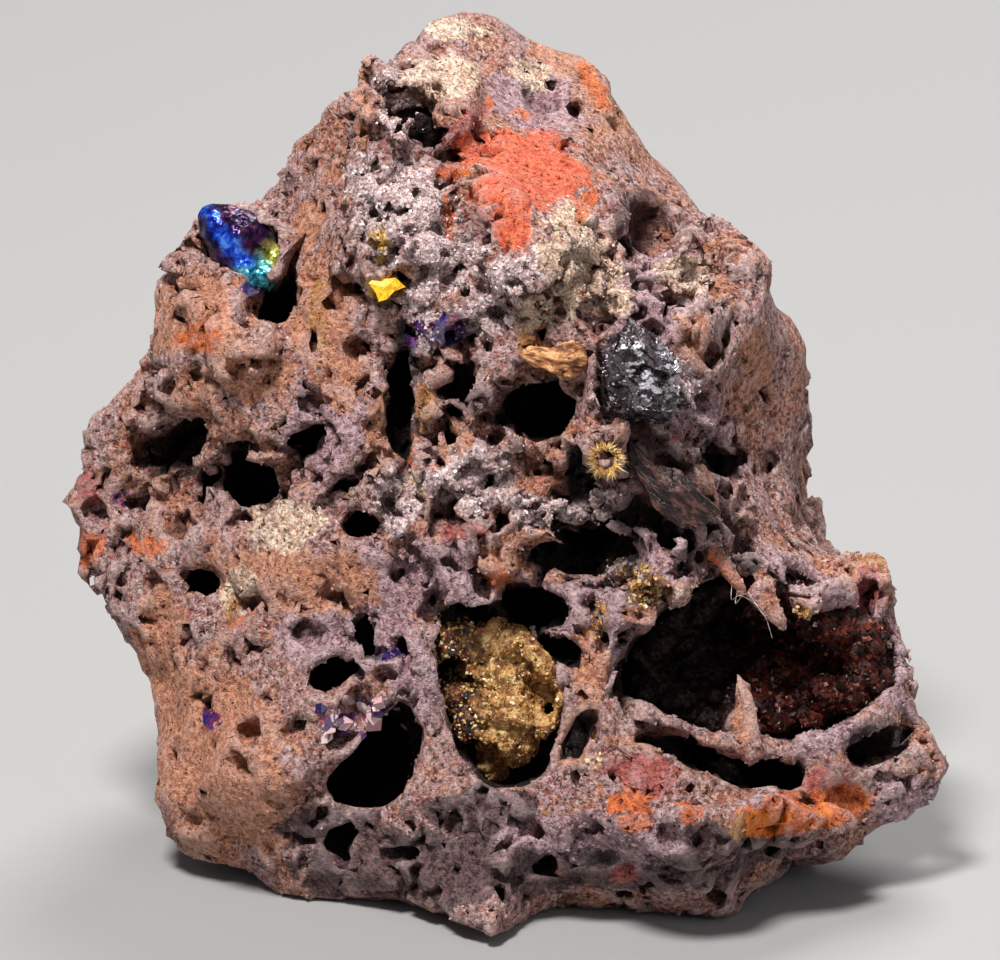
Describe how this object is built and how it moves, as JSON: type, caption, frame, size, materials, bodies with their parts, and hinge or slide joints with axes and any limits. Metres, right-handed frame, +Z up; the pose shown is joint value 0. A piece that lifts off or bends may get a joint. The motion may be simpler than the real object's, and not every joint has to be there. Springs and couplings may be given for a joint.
{
  "type": "natrojarosite specimen",
  "caption": "Loose lump of vuggy iron-oxide rock with a golden natrojarosite crust in one hollow, a red-brown lined vug, a tarnished blue patch and a dark lustrous crystal; rests on a flat underside.",
  "frame": {"origin": "on the resting plane, under the middle of the specimen's box", "axes": "+Z up, the display face looks along -Y and leans back by 20 degrees, +X to the right seen from the front"},
  "size_m": [0.0452, 0.0364, 0.0403],
  "materials": {
    "rock": "rough, porous, mottled mauve-brown and tan",
    "natrojarosite": "granular golden yellow crust",
    "vug_lining": "glistening dark red-brown druse",
    "tarnished_goethite": "glossy, iridescent blue and violet tarnish",
    "hematite": "dark metallic lustre"
  },
  "bodies": {
    "root": {"rock": "rock", "natrojarosite_crust": "natrojarosite", "vug_lining": "vug_lining", "tarnished_goethite": "tarnished_goethite", "hematite_crystal": "hematite"}
  },
  "joints": []
}
